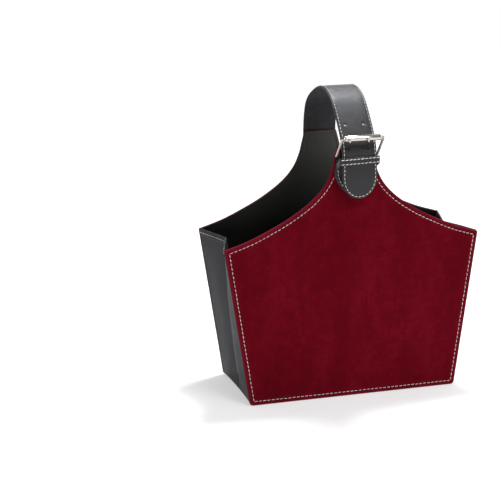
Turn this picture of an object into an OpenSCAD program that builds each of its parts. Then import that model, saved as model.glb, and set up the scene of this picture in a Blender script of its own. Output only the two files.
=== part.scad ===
// Magazine holder: two shaped suede panels, folded side gussets, a stiff base
// and a strap handle closed by a double-prong roller buckle.
// X runs along the width, -Y is the front, Z is up, millimetres.
// The origin is the centre of the base's underside.

/* [Bag] */
// Half width of a panel at the base
bottom_half = 140; // [130:1:150]
// Half width of a panel at its shoulders
shoulder_half = 170; // [160:1:180]
// Height of the shoulders
shoulder_z = 206; // [190:1:220]
// Height of the top of the neck
neck_z = 328.5; // [322:0.5:332]
// Half width of the top of the neck
neck_half = 22; // [20:0.5:26]
// Distance from the front face to the back face
depth = 137.6; // [130:0.2:150]
// Radius of the bottom corners of a panel
corner_r = 5; // [3:0.5:8]
// Inward fold of the gussets at the top
fold_top = 19; // [8:1:26]
// Inward fold of the gussets at the base
fold_bottom = 4; // [2:1:5]

/* [Sheet thickness] */
// Suede cover of a panel
cover_t = 1.2; // [0.8:0.1:1.6]
// Stiffening board of a panel
board_t = 1.8; // [1.2:0.1:2.4]
// Lining of a panel
lining_t = 0.8; // [0.6:0.1:1.2]
// Gusset
gusset_t = 1.6; // [1.0:0.1:2.2]

/* [Base] */
// Half length of the base
base_half_x = 134; // [120:1:134]
// Base board thickness
base_board_t = 2.5; // [1.5:0.1:3]

/* [Strap] */
// Width of the strap
strap_w = 45; // [38:1:46]
// Thickness of each of the two plies
ply_t = 1.5; // [1.2:0.1:1.6]
// Hole diameter
hole_d = 3.8; // [3.4:0.2:4.4]
// Distance between the two holes of a row
hole_pitch = 24; // [20:1:28]

/* [Buckle] */
// Outside width of the buckle frame
buckle_w = 56.6; // [56:0.2:58]
// Wire diameter of the base bar and the legs
wire_d = 3.4; // [3:0.1:3.6]
// Roller outside diameter
roller_d = 7.6; // [6.6:0.2:8]
// Prong diameter
prong_d = 2.8; // [2.4:0.2:3]

/* [Hidden] */
$fn = 48;

face_y = depth / 2;                       // outer face of a panel
inner_y = face_y - cover_t - board_t - lining_t; // inner face of a panel's lining
panel_z = 0.3;                            // underside of the panels
turn_t = 1;                               // the cover where it turns over the board's edge
lining_in = 0.8;                          // how far the lining stays inside the panel's edge
base_half_y = inner_y - 0.8;
cover_z = 1;                              // top of the base's outer cover
board_z = cover_z + base_board_t;
bead = 0.4;                               // how far a row of thread stands proud
strap_t = 2 * ply_t;
bar = [-76.5, 316];                       // base bar of the buckle, [y, z]
roll = [-100, 342.3];                     // end bar and roller, [y, z]
lean = atan2(bar[0] - roll[0], roll[1] - bar[1]);
chape_t = 1.8;
tip_z = 290;                              // where the strap's ends begin to round
tip_stretch = 1.15;                       // how much longer than round the ends are
eye_x = [-10, 14];                        // the prongs lean from their eyes to their tips
knee_x = [-18.6, 5.4];
tip_x = [-19.6, 4.4];
hole_mid = -1;                            // the rows of holes sit a little to the left
thread = "ivory";
suede = [0.42, 0.03, 0.08];
leather = [0.10, 0.10, 0.11];

// ---------- curves ----------
// Catmull-Rom point between b and c
function crp(a, b, c, d, t) = 0.5 * ((2 * b) + (c - a) * t + (2 * a - 5 * b + 4 * c - d) * t * t + (3 * b - a - 3 * c + d) * t * t * t);
// smooth line through the points p, with n steps a span
function smooth(p, n) = [
  for (i = [0 : len(p) - 2]) for (k = [0 : n - 1])
    crp(p[max(i - 1, 0)], p[i], p[i + 1], p[min(i + 2, len(p) - 1)], k / n),
  p[len(p) - 1]
];
function unit(v) = v / norm(v);
function left_of(v) = [-v[1], v[0]];
// a closed outline moved by d towards its left-hand side
function inset(p, d) = [
  for (i = [0 : len(p) - 1]) let (
    a = left_of(unit(p[i] - p[(i + len(p) - 1) % len(p)])),
    b = left_of(unit(p[(i + 1) % len(p)] - p[i])))
    p[i] + d * (a + b) / (1 + a * b)
];
// an open line moved by d towards its left-hand side
function shift(p, d) = [
  for (i = [0 : len(p) - 1]) let (
    a = left_of(unit(p[max(i, 1)] - p[max(i, 1) - 1])),
    b = left_of(unit(p[min(i, len(p) - 2) + 1] - p[min(i, len(p) - 2)])))
    p[i] + d * (a + b) / (1 + a * b)
];
function flip(p) = [for (i = [len(p) - 1 : -1 : 0]) p[i]];
function mirrored(p) = [for (i = [len(p) - 1 : -1 : 0]) [-p[i][0], p[i][1]]];

// ---------- panel outline, [x, z] ----------
// the curve from the shoulder to the neck: share of the width, share of the height
curve = [[1, 0], [0.79, 0.08], [0.6, 0.18], [0.41, 0.3], [0.23, 0.45], [0.115, 0.6], [0.055, 0.75], [0.026, 0.88], [0, 1]];
top_curve = [for (c = smooth(curve, 5)) [neck_half + (shoulder_half - neck_half) * c[0], shoulder_z + (neck_z - shoulder_z) * c[1]]];
side_angle = atan((shoulder_half - bottom_half) / shoulder_z);
// right half from the bottom corner upwards, with corner radius r
// and with the few points of the curve nearest its two ends left out, for a line well inside the edge
function half_outline(r, few) = concat(
  [for (k = [0 : 6]) let (a = -90 + k * (90 - side_angle) / 6,
      cx = bottom_half - r * tan(45 - side_angle / 2))
      [cx + r * cos(a), panel_z + r + r * sin(a)]],
  [for (i = [0 : len(top_curve) - 1]) if (i == 0 || i == len(top_curve) - 1 || (i > few && i < len(top_curve) - 1 - few)) top_curve[i]]);
function outline(r, few = 0) = concat(half_outline(r, few), mirrored(half_outline(r, few)));

module flat(p, y, t) { // an outline in X and Z, as a plate from y to y + t
  translate([0, y + t, 0]) rotate([90, 0, 0]) linear_extrude(t) polygon(p);
}
module across(p, w) { // an outline in Y and Z, w wide along X
  rotate([90, 0, 90]) linear_extrude(w, center = true) polygon(p);
}
module rod_x(at, r, w) { // a rod along X
  translate([-w / 2, at[0], at[1]]) rotate([0, 90, 0]) cylinder(r = r, h = w);
}
module rod_y(x, z, r) {
  translate([x, 150, z]) rotate([90, 0, 0]) cylinder(r = r, h = 300);
}

// ---------- panels ----------
module thread_ring(y) { // the row of thread round a panel
  difference() {
    flat(inset(outline(corner_r + 4, 3), 5.2), y, bead);
    translate([0, -1, 0]) flat(inset(outline(corner_r + 4, 3), 6.2), y, bead + 2);
    children();
  }
}
// a cover turned over the edge of its board, with the board's pocket open at the back
module tray(y, t, back) {
  difference() {
    flat(outline(corner_r), y, cover_t + board_t);
    translate([0, back, 0]) flat(inset(outline(corner_r), turn_t), y, cover_t + board_t);
  }
}
module front_cover() { color(suede) tray(-face_y, cover_t, cover_t); }
module front_board() { color("tan") flat(inset(outline(corner_r), turn_t), -face_y + cover_t, board_t); }
module front_lining() { color(leather) flat(inset(outline(corner_r), lining_in), -inner_y - lining_t, lining_t); }
module front_stitching() {
  color(thread) thread_ring(-face_y - bead) chape_plan(-0.5);
}
module back_cover() { color(suede) tray(face_y - cover_t - board_t, cover_t, -cover_t); }
module back_board() { color("tan") flat(inset(outline(corner_r), turn_t), face_y - cover_t - board_t, board_t); }
module back_lining() { color(leather) flat(inset(outline(corner_r), lining_in), inner_y, lining_t); }
module back_stitching() {
  color(thread) thread_ring(face_y) strap_plan(-0.5);
}

// ---------- base ----------
module base_slab(x, y, z, t) { translate([-x, -y, z]) cube([2 * x, 2 * y, t]); }
module base_cover() { color(leather) base_slab(base_half_x, base_half_y, 0, cover_z); }
module base_board() { color("tan") base_slab(base_half_x - 1, base_half_y - 1, cover_z, base_board_t); }
module base_lining() { color(leather) base_slab(base_half_x - 1, base_half_y - 1, board_z, lining_t); }

// ---------- gussets ----------
gusset_y = inner_y - 0.4;
function edge_x(z) = bottom_half - 0.6 + (shoulder_half - bottom_half) * z / shoulder_z
  - (z < corner_r ? corner_r - sqrt(corner_r * corner_r - (corner_r - z) * (corner_r - z)) : 0);
function fold_x(z) = bottom_half - fold_bottom + (shoulder_half - fold_top + fold_bottom - bottom_half) * z / shoulder_z;
stitch_z = shoulder_z - 4;
gusset_z = [0.4, 1.2, 2.4, 5, 20, 60, 100, 140, 180, stitch_z, stitch_z + 0.8, shoulder_z + 1];
function ring(z) = let (e = edge_x(z), f = min(fold_x(z), edge_x(z) - 0.5), t = gusset_t) [
  [e, -gusset_y, z], [f, 0, z], [e, gusset_y, z],
  [e - t, gusset_y, z], [f - t, 0, z], [e - t, -gusset_y, z]
];
module gusset() {
  n = len(gusset_z);
  polyhedron(
    points = [for (z = gusset_z) each ring(z)],
    faces = concat(
      [[0, 1, 4], [0, 4, 5], [1, 2, 3], [1, 3, 4]],
      [for (i = [0 : n - 2]) for (k = [0 : 5]) let (a = 6 * i + k, b = 6 * i + (k + 1) % 6) each [[a, a + 6, b], [b, a + 6, b + 6]]],
      [let (m = 6 * (n - 1)) each [[m, m + 4, m + 1], [m, m + 5, m + 4], [m + 1, m + 3, m + 2], [m + 1, m + 4, m + 3]]]));
}
// four corners of a row of thread on half s of a gusset, at height z
function thread_ring_at(z, s) = let (
  e = edge_x(z), f = fold_x(z), g = 0.03,
  i = f + (e - f) * 2 / gusset_y + g, o = e - (e - f) * 2 / gusset_y + g)
  s > 0 ? [[i, 2, z], [i + bead, 2, z], [o + bead, gusset_y - 2, z], [o, gusset_y - 2, z]]
        : [[i, -2, z], [o, 2 - gusset_y, z], [o + bead, 2 - gusset_y, z], [i + bead, -2, z]];
module gusset_thread() { // one row on each half, below the top hem
  for (s = [-1, 1])
    polyhedron(
      points = concat(thread_ring_at(stitch_z, s), thread_ring_at(stitch_z + 0.8, s)),
      faces = concat([[0, 1, 2, 3], [7, 6, 5, 4]],
        [for (k = [0 : 3]) let (b = (k + 1) % 4) each [[k, k + 4, b], [b, k + 4, b + 4]]]));
}
module left_gusset() { color(leather) mirror([1, 0, 0]) gusset(); }
module right_gusset() { color(leather) gusset(); }
module left_gusset_stitching() { color(thread) mirror([1, 0, 0]) gusset_thread(); }
module right_gusset_stitching() { color(thread) gusset_thread(); }

// ---------- strap ----------
// the outer surface, [y, z], from the end on the back panel, over the top, to the tip in front
strap_line = smooth([
  [72, 261], [72, 296], [72, 324], [71, 338], [68, 352], [62, 366], [51, 377], [34, 386], [14, 393.5],
  [-3, 396.5], [-18, 395.5], [-32, 391], [-45, 383], [-57, 371], [-68, 358], [-77, 346], [-84, 334],
  [-87.4, 322], [-88.7, 312], [-89.3, 302], [-89.4, 290], [-88.9, 277], [-87.8, 261]], 4);
module band(d1, d2, w) { // the strap's line between two depths below its outer surface
  across(concat(shift(strap_line, d1), flip(shift(strap_line, d2))), w);
}
module strap_plan(g) { // the strap seen from the front, smaller by g
  union() {
    translate([0, 0, tip_z]) scale([1, 1, tip_stretch]) rod_y(0, 0, strap_w / 2 - g);
    translate([-strap_w / 2 + g, -150, tip_z]) cube([strap_w - 2 * g, 300, 140]);
  }
}
hole_x = [hole_mid - hole_pitch / 2, hole_mid + hole_pitch / 2];
module hole(y, z, tilt, slot, d) { // a hole through both plies on each side
  for (x = hole_x) translate([x, y, z]) rotate([tilt, 0, 0]) {
    translate([0, -slot / 2, -6]) cylinder(d = d, h = 12);
    if (slot > 0) {
      translate([0, slot / 2, -6]) cylinder(d = d, h = 12);
      translate([-d / 2, -slot / 2, -6]) cube([d, slot, 12]);
    }
  }
}
module punched() {
  difference() {
    children(0);
    hole(-69, 354.2, 50, 0, hole_d);
    hole(-85.6, 324.7, 84, 3.4, hole_d + 0.8);
  }
}
module handle_strap() {
  color(leather) punched() intersection() { band(0, ply_t, strap_w); strap_plan(0); }
}
module strap_lining() {
  color([0.2, 0.2, 0.21]) punched() intersection() { band(ply_t, strap_t, strap_w); strap_plan(0); }
}
module strap_stitching() {
  color(thread) intersection() {
    band(-bead, 0, strap_w);
    difference() { strap_plan(2); strap_plan(2.8); }
  }
}

// ---------- chape and keeper, sewn to the front panel ----------
// the chape's right edge, [x, z], from the fold down to the middle of its end
chape_edge = smooth([[24.2, 324], [24.2, 313], [25.4, 307], [26.8, 299], [26.4, 292], [24.4, 286], [20.8, 279.6], [15.4, 273], [9, 268.4]], 2);
chape_line = concat([[0, 266.4]], flip(chape_edge), [for (p = chape_edge) [-p[0], p[1]]]);
module chape_plan(g) { // the chape seen from the front, smaller by g
  translate([0, 150, 0]) rotate([90, 0, 0]) linear_extrude(300) polygon(inset(chape_line, g));
}
chape_back = [[-face_y, 266], [-face_y, 309], [-71, 314], [-73, 317], [-75, 314], [-71.8, 308], [-face_y - chape_t, 303], [-face_y - chape_t, 266]];
chape_front = [[-face_y - chape_t, 266], [-face_y - chape_t, 290], [-72.4, 297], [-75.4, 305], [-78, 315], [-80.2, 317], [-80.1, 313], [-77.2, 303], [-74, 294.5], [-face_y - 2 * chape_t, 288], [-face_y - 2 * chape_t, 266]];
module chape() {
  color(leather) difference() {
    intersection() {
      union() {
        across(chape_back, 60);
        across(chape_front, 60);
        rod_x(bar, wire_d / 2 + 0.1 + chape_t, 60);
      }
      chape_plan(0);
    }
    rod_x(bar, wire_d / 2 + 0.1, 80);
    // slots that the prongs swing in
    for (x = eye_x) translate([x - 2.8, -90, 311.5]) cube([5.6, 30 - 9.5, 20]);
  }
}
module chape_stitching() {
  color(thread) intersection() {
    translate([-40, -face_y - 2 * chape_t - bead, 266]) cube([80, bead, 21]);
    difference() { chape_plan(2.8); chape_plan(3.6); }
  }
}
keeper_w = 53.2;
keeper_y = -89.7;                         // inner face of the keeper's front
keeper_t = 1.5;
module keeper() { // a band over the strap, its ends sewn to the chape
  color(leather) {
    translate([-keeper_w / 2, keeper_y - keeper_t, 307]) cube([keeper_w, keeper_t, 10]);
    for (s = [-1, 1]) translate([s * (keeper_w / 2 - keeper_t / 2), 0, 0])
      across([[keeper_y, 307], [keeper_y, 317], [-80.1, 313], [-77.5, 304]], keeper_t);
  }
}
module keeper_stitching() {
  color(thread) for (z = [308.4, 314.8])
    translate([-keeper_w / 2 + 1, keeper_y - keeper_t - bead, z]) cube([keeper_w - 2, bead, 0.8]);
}

// ---------- buckle ----------
leg_x = (buckle_w - wire_d) / 2;
leg_l = norm(roll - bar);
end_d = 3.4;                              // the end bar inside the roller
module buckle_frame() {
  color("silver") translate([0, bar[0], bar[1]]) rotate([lean, 0, 0]) {
    rod_x([0, 0], wire_d / 2, 2 * leg_x);
    rod_x([0, leg_l], end_d / 2, 2 * leg_x);
    for (s = [-1, 1]) translate([s * leg_x, 0, 0]) {
      cylinder(d = wire_d, h = leg_l);
      sphere(d = wire_d);
      translate([0, 0, leg_l]) sphere(d = wire_d);
    }
  }
}
roller_l = 48;
module buckle_roller() {
  color("silver") difference() {
    rod_x(roll, roller_d / 2, roller_l);
    rod_x(roll, end_d / 2 + 0.08, roller_l + 2);
  }
}
// a prong: an eye round the base bar, then three straight lengths that lean to the left and end on the roller
prong_bend = [-87, 325.2];
prong_knee = [-105.2, 339.2];
prong_tip = [-105.8, 342.6];
module rod(a, b, d) { // a rod from point a to point b
  v = b - a;
  translate(a) rotate([0, acos(v[2] / norm(v)), atan2(v[1], v[0])]) cylinder(d = d, h = norm(v));
}
module prong(xe, xh, xk, xt) { // X at the eye, at the hole, at the knee and at the tip
  p = [xe, bar[0], bar[1]];
  q = [xh, prong_bend[0], prong_bend[1]];
  r = [xk, prong_knee[0], prong_knee[1]];
  t = [xt, prong_tip[0], prong_tip[1]];
  color("silver") difference() {
    union() {
      translate([xe, 0, 0]) rod_x(bar, wire_d / 2 + 1.5, 4.8);
      rod(p, q, prong_d);
      translate(q) sphere(d = prong_d + 0.1);
      rod(q, r, prong_d);
      translate(r) sphere(d = prong_d + 0.1);
      rod(r, t, prong_d);
      translate(t) sphere(d = prong_d + 0.1);
    }
    rod_x(bar, wire_d / 2 + 0.08, 60);
  }
}
module left_prong() { prong(eye_x[0], hole_x[0], knee_x[0], tip_x[0]); }
module right_prong() { prong(eye_x[1], hole_x[1], knee_x[1], tip_x[1]); }

base_cover();
base_board();
base_lining();
left_gusset();
left_gusset_stitching();
right_gusset();
right_gusset_stitching();
handle_strap();
strap_lining();
strap_stitching();
front_cover();
front_board();
front_lining();
front_stitching();
back_cover();
back_board();
back_lining();
back_stitching();
chape();
chape_stitching();
keeper();
keeper_stitching();
buckle_frame();
buckle_roller();
left_prong();
right_prong();
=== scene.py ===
import math
import random

import bpy
import numpy as np
from mathutils import Matrix, Vector
from mathutils.geometry import delaunay_2d_cdt
from mathutils.kdtree import KDTree


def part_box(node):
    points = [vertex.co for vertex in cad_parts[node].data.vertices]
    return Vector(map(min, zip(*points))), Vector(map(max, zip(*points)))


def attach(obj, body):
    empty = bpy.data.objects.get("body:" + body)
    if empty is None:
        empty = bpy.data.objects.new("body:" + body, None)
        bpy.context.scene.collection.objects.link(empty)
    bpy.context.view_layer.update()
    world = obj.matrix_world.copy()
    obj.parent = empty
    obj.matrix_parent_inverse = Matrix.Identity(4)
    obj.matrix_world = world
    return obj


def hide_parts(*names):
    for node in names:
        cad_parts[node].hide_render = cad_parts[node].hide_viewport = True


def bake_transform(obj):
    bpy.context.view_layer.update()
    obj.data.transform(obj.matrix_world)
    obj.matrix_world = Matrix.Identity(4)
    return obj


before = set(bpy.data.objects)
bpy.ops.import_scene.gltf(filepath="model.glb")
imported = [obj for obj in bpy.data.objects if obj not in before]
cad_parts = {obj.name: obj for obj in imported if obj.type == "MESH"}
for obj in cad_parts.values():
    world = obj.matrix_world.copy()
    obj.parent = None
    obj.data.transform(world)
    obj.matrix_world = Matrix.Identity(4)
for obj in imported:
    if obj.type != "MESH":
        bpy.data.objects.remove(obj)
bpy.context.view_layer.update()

MM = 0.001
rng = random.Random(11)
nrng = np.random.RandomState(5)


# ------------------------------------------------------------------ sizes, mm, from the frame
def mmbox(node):
    lo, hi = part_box(node)
    return np.array(lo) * 1000.0, np.array(hi) * 1000.0


_lo, _hi = mmbox("front_cover")
FACE = -_lo[1]                       # outer face of a panel
SHOULDER = _hi[0]
NECK_Z = _hi[2]
PANEL_Z = _lo[2]
INNER = -mmbox("front_lining")[1][1]  # inner face of a lining
_glo, _ghi = mmbox("right_gusset")
GUSSET_Y = _ghi[1]
BASE_X, BASE_Y = mmbox("base_cover")[1][:2]
BASE_TOP = mmbox("base_lining")[1][2]
STRAP_HALF = mmbox("handle_strap")[1][0]
BOTTOM_HALF, SHOULDER_Z, NECK_HALF = 140.0, 206.0, 22.0
FOLD_TOP, FOLD_BOTTOM = 19.0, 4.0
STITCH_IN = 5.6
BAR = np.array([-76.5, 316.0])
ROLL = np.array([-100.0, 342.3])
TIP_Z, TIP_LONG = 290.0, 25.9        # where the strap's ends begin to round, and how long the rounding is
HOLE_X = (-13.0, 11.0)


# ------------------------------------------------------------------ lines
def catmull(p, n):
    p = np.asarray(p, float)
    out = []
    for i in range(len(p) - 1):
        a, b, c, d = p[max(i - 1, 0)], p[i], p[i + 1], p[min(i + 2, len(p) - 1)]
        for k in range(n):
            t = k / n
            out.append(0.5 * (2 * b + (c - a) * t + (2 * a - 5 * b + 4 * c - d) * t * t + (3 * b - a - 3 * c + d) * t ** 3))
    out.append(p[-1])
    return np.array(out)


def arclen(p):
    return np.concatenate([[0], np.cumsum(np.linalg.norm(np.diff(p, axis=0), axis=1))])


def at_len(p, s):
    a = arclen(p)
    return np.stack([np.interp(s, a, p[:, k]) for k in range(p.shape[1])], -1)


def resample(p, step):
    n = max(1, int(round(arclen(p)[-1] / step)))
    return at_len(p, np.linspace(0, arclen(p)[-1], n + 1))


def chain_loop(chains, trims, step, k=6):
    """A closed loop from open chains that meet end to start, each meeting rounded by trims mm either side."""
    out = []
    n = len(chains)
    cut = []
    for i, c in enumerate(chains):
        c = np.asarray(c, float)
        a, b = trims[i - 1], trims[i]
        L = arclen(c)[-1]
        m = max(1, int(round((L - a - b) / step)))
        cut.append(at_len(c, np.linspace(a, L - b, m + 1)))
    for i in range(n):
        out.extend(cut[i])
        corner = np.asarray(chains[i][-1], float)
        p0, p2 = cut[i][-1], cut[(i + 1) % n][0]
        if trims[i] > 0:
            for j in range(1, k):
                t = j / k
                out.append((1 - t) ** 2 * p0 + 2 * t * (1 - t) * corner + t * t * p2)
        else:
            out.pop()
    out = np.array(out)
    keep = np.linalg.norm(out - np.roll(out, 1, axis=0), axis=1) > 1e-4
    return out[keep]


def inside(p, loop):
    """Which points lie in a closed loop."""
    x, y = p[:, 0], p[:, 1]
    res = np.zeros(len(p), bool)
    a, b = loop, np.roll(loop, -1, axis=0)
    for (x0, y0), (x1, y1) in zip(a, b):
        if y0 == y1:
            continue
        hit = (y0 > y) != (y1 > y)
        xc = (x1 - x0) * (y - y0) / (y1 - y0) + x0
        res ^= hit & (x < xc)
    return res


def seg_dist(p, lines):
    """Distance from each point to the nearest of some open polylines."""
    best = np.full(len(p), 1e9)
    for l in lines:
        A, B = l[:-1], l[1:]
        d = B - A
        dd = np.maximum((d * d).sum(1), 1e-12)
        for k in range(0, len(p), 1500):
            q = p[k:k + 1500]
            w = q[:, None, :] - A[None]
            t = np.clip((w * d[None]).sum(2) / dd[None], 0, 1)
            e = w - t[..., None] * d[None]
            best[k:k + 1500] = np.minimum(best[k:k + 1500], np.sqrt((e * e).sum(2)).min(1))
    return best


def closed(loop):
    return np.vstack([loop, loop[:1]])


def offset_points(line, d, step):
    """Points at distance d on both sides of an open polyline."""
    L = arclen(line)[-1]
    n = max(2, int(round(L / step)))
    s = np.linspace(0, L, n + 1)
    p = at_len(line, s)
    t = at_len(line, np.minimum(s + 0.05, L)) - at_len(line, np.maximum(s - 0.05, 0))
    t /= np.maximum(np.linalg.norm(t, axis=1), 1e-9)[:, None]
    nn = np.stack([-t[:, 1], t[:, 0]], 1)
    return np.vstack([p + nn * d, p - nn * d])


def waves(seed, amp, length):
    """A smooth, repeatable wave field over (u, v) in mm."""
    r = np.random.RandomState(seed)
    ks = []
    for _ in range(7):
        a = r.uniform(0, 2 * math.pi)
        k = 2 * math.pi / (length * r.uniform(0.7, 1.6))
        ks.append((k * math.cos(a), k * math.sin(a), r.uniform(0, 2 * math.pi), r.uniform(0.5, 1)))
    tot = sum(k[3] for k in ks)

    def f(u, v):
        return amp * sum(w * np.sin(a * u + b * v + c) for a, b, c, w in ks) / tot * 1.6
    return f


# ------------------------------------------------------------------ meshes
def make_mesh(name, verts_mm, faces, mat, smooth=True):
    me = bpy.data.meshes.new(name)
    v = np.asarray(verts_mm, float) * MM
    me.from_pydata([tuple(x) for x in v], [], [tuple(int(i) for i in f) for f in faces])
    me.validate()
    if smooth:
        me.polygons.foreach_set("use_smooth", np.ones(len(me.polygons), bool))
    me.update()
    ob = bpy.data.objects.new(name, me)
    bpy.context.scene.collection.objects.link(ob)
    if mat is not None:
        me.materials.append(mat)
    return ob


def fix_normals(ob):
    import bmesh
    bm = bmesh.new()
    bm.from_mesh(ob.data)
    bmesh.ops.remove_doubles(bm, verts=bm.verts, dist=1e-8)
    bmesh.ops.recalc_face_normals(bm, faces=bm.faces)
    bm.to_mesh(ob.data)
    bm.free()
    ob.data.update()


def sharp_where(ob, test):
    """Marks as sharp the edges whose two ends both pass test(co in mm)."""
    me = ob.data
    co = np.array([v.co for v in me.vertices]) * 1000.0
    ok = test(co)
    for e in me.edges:
        a, b = e.vertices
        if ok[a] and ok[b]:
            e.use_edge_sharp = True


def sheet_mesh(name, loops, edge_lines, rings, grid, top, bottom, mat, mask=None):
    """A closed shell from a flat outline. loops[0] is the outline, the rest are holes, in (u, v).
    edge_lines are the real edges, which distances are measured from. rings are (distance, step).
    top and bottom map (u, v, d) to 3-D points in mm."""
    pts, cons = [], []
    for lp in loops:
        b = len(pts)
        pts.extend(lp.tolist())
        cons += [(b + i, b + (i + 1) % len(lp)) for i in range(len(lp))]
    base_n = len(pts)
    extra = []
    for d, step in rings:
        for line in edge_lines:
            q = offset_points(line, d, step)
            dist = seg_dist(q, edge_lines)
            extra.append(q[dist > d - 0.02])
    lo, hi = loops[0].min(0), loops[0].max(0)
    gx = np.arange(lo[0] + grid * 0.37, hi[0], grid)
    gy = np.arange(lo[1] + grid * 0.41, hi[1], grid * 0.866)
    g = np.array([[x + (0.5 * grid if j % 2 else 0), y] for j, y in enumerate(gy) for x in gx])
    last = max(r[0] for r in rings) if rings else 0
    g = g[seg_dist(g, edge_lines) > last + grid * 0.45]
    extra.append(g)
    if mask is not None:
        extra.append(mask)
    q = np.vstack(extra)
    ok = inside(q, loops[0])
    for h in loops[1:]:
        ok &= ~inside(q, h)
    q = q[ok]
    near = seg_dist(q, [closed(l) for l in loops])
    q = q[near > 0.04]
    # drop points that crowd another
    order = []
    cell = {}
    for p in q:
        key = (int(p[0] // 0.25), int(p[1] // 0.25))
        if key in cell:
            continue
        cell[key] = 1
        order.append(p)
    q = np.array(order)
    allp = np.vstack([np.array(pts), q])
    vc, _, faces, *_ = delaunay_2d_cdt([Vector(p) for p in allp], cons, [], 0, 1e-5)
    P = np.array([tuple(v) for v in vc])
    F = np.array([f for f in faces if len(f) == 3])
    c = P[F].mean(1)
    keep = inside(c, loops[0])
    for h in loops[1:]:
        keep &= ~inside(c, h)
    F = F[keep]
    a = P[F]
    area = np.cross(a[:, 1] - a[:, 0], a[:, 2] - a[:, 0])
    F = np.where((area < 0)[:, None], F[:, ::-1], F)
    F = F[np.abs(area) > 1e-9]
    used = np.unique(F)
    remap = -np.ones(len(P), int)
    remap[used] = np.arange(len(used))
    P, F = P[used], remap[F]
    d = seg_dist(P, edge_lines)
    T = top(P[:, 0], P[:, 1], d)
    B = bottom(P[:, 0], P[:, 1], d)
    n = len(P)
    count = {}
    for f in F:
        for i in range(3):
            e = (int(f[i]), int(f[(i + 1) % 3]))
            k = (min(e), max(e))
            count.setdefault(k, []).append(e)
    rim = [v[0] for v in count.values() if len(v) == 1]
    faces = [tuple(f) for f in F] + [tuple(x + n for x in f[::-1]) for f in F]
    faces += [(a, a + n, b + n, b) for a, b in rim]
    ob = make_mesh(name, np.vstack([T, B]), faces, mat)
    fix_normals(ob)
    return ob


def tube(points, radii, sides=10, squash=1.0, up=None, cap=True, closed_path=False):
    """Vertices and faces of a tube along points, in mm. squash flattens it along the second frame axis."""
    P = np.asarray(points, float)
    n = len(P)
    radii = np.broadcast_to(np.asarray(radii, float), (n,))
    if closed_path:
        T = np.roll(P, -1, 0) - np.roll(P, 1, 0)
    else:
        T = np.gradient(P, axis=0)
    T /= np.linalg.norm(T, axis=1)[:, None]
    u = np.array(up if up is not None else [0.0, 0.0, 1.0], float)
    rings = []
    for i in range(n):
        a = u - T[i] * (u @ T[i])
        if np.linalg.norm(a) < 1e-6:
            a = np.array([1.0, 0, 0]) - T[i] * T[i][0]
        a /= np.linalg.norm(a)
        b = np.cross(T[i], a)
        if up is None:
            u = a
        ang = np.arange(sides) * 2 * math.pi / sides
        rings.append(P[i] + radii[i] * (np.cos(ang)[:, None] * b + squash * np.sin(ang)[:, None] * a))
    V = np.vstack(rings)
    F = []
    m = n if closed_path else n - 1
    for i in range(m):
        j = (i + 1) % n
        for k in range(sides):
            l = (k + 1) % sides
            F.append((i * sides + k, i * sides + l, j * sides + l, j * sides + k))
    if cap and not closed_path:
        F.append(tuple(range(sides - 1, -1, -1)))
        F.append(tuple(range((n - 1) * sides, n * sides)))
    return V, F


def join_parts(parts):
    V, F, b = [], [], 0
    for v, f in parts:
        V.append(v)
        F += [tuple(i + b for i in x) for x in f]
        b += len(v)
    return np.vstack(V), F


def stitches(name, rows, mat, r=0.34, pitch=5.6, length=3.7, slant=5.0, lift=0.40, dive=0.55):
    """Separate stitches along rows. A row is a function s -> (point, tangent, normal) in mm, with its length."""
    parts = []
    xs = np.array([-0.5, -0.46, -0.36, -0.18, 0, 0.18, 0.36, 0.46, 0.5])
    hs = np.array([-dive, -0.02, lift * 0.62, lift * 0.95, lift, lift * 0.95, lift * 0.62, -0.02, -dive])
    rs = np.array([0.55, 0.8, 0.95, 1, 1, 1, 0.95, 0.8, 0.55])
    ends = []
    for f, L, skip in rows:
        n = max(1, int(round(L / pitch)))
        for k in range(n):
            s = (k + 0.5) * L / n
            p, t, nn = f(s)
            if skip is not None and skip(p):
                continue
            t = t / np.linalg.norm(t)
            nn = nn - t * (nn @ t)
            nn /= np.linalg.norm(nn)
            side = np.cross(nn, t)
            a = math.radians(slant + rng.uniform(-2.2, 2.2))
            ln = length * (1 + rng.uniform(-0.05, 0.05))
            tt = t * math.cos(a) + side * math.sin(a)
            off = side * rng.uniform(-0.10, 0.10)
            pts = np.array([p + off + tt * x * ln + nn * (h + 0.02) for x, h in zip(xs, hs)])
            V, F = tube(pts, r * rs, sides=8, squash=0.82, up=nn)
            parts.append((V, F))
            ends += [p + off - tt * ln / 2, p + off + tt * ln / 2]
    V, F = join_parts(parts)
    ob = make_mesh(name, V, F, mat)
    return ob, np.array(ends)


# ------------------------------------------------------------------ materials
def new_mat(name):
    m = bpy.data.materials.new(name)
    m.use_nodes = True
    nt = m.node_tree
    bsdf = next(n for n in nt.nodes if n.type == "BSDF_PRINCIPLED")
    return m, nt, bsdf


def node(nt, kind, **kw):
    n = nt.nodes.new(kind)
    for k, v in kw.items():
        setattr(n, k, v)
    return n


def noise(nt, co, scale, detail=3.0, rough=0.55, dist=0.0):
    n = node(nt, "ShaderNodeTexNoise")
    n.inputs["Scale"].default_value = scale
    n.inputs["Detail"].default_value = detail
    n.inputs["Roughness"].default_value = rough
    n.inputs["Distortion"].default_value = dist
    nt.links.new(co, n.inputs["Vector"])
    return n


def ramp(nt, fac, stops):
    r = node(nt, "ShaderNodeValToRGB")
    cr = r.color_ramp
    while len(cr.elements) < len(stops):
        cr.elements.new(0.5)
    for e, (p, c) in zip(cr.elements, stops):
        e.position = p
        e.color = (*c, 1) if len(c) == 3 else c
    nt.links.new(fac, r.inputs["Fac"])
    return r


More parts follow.
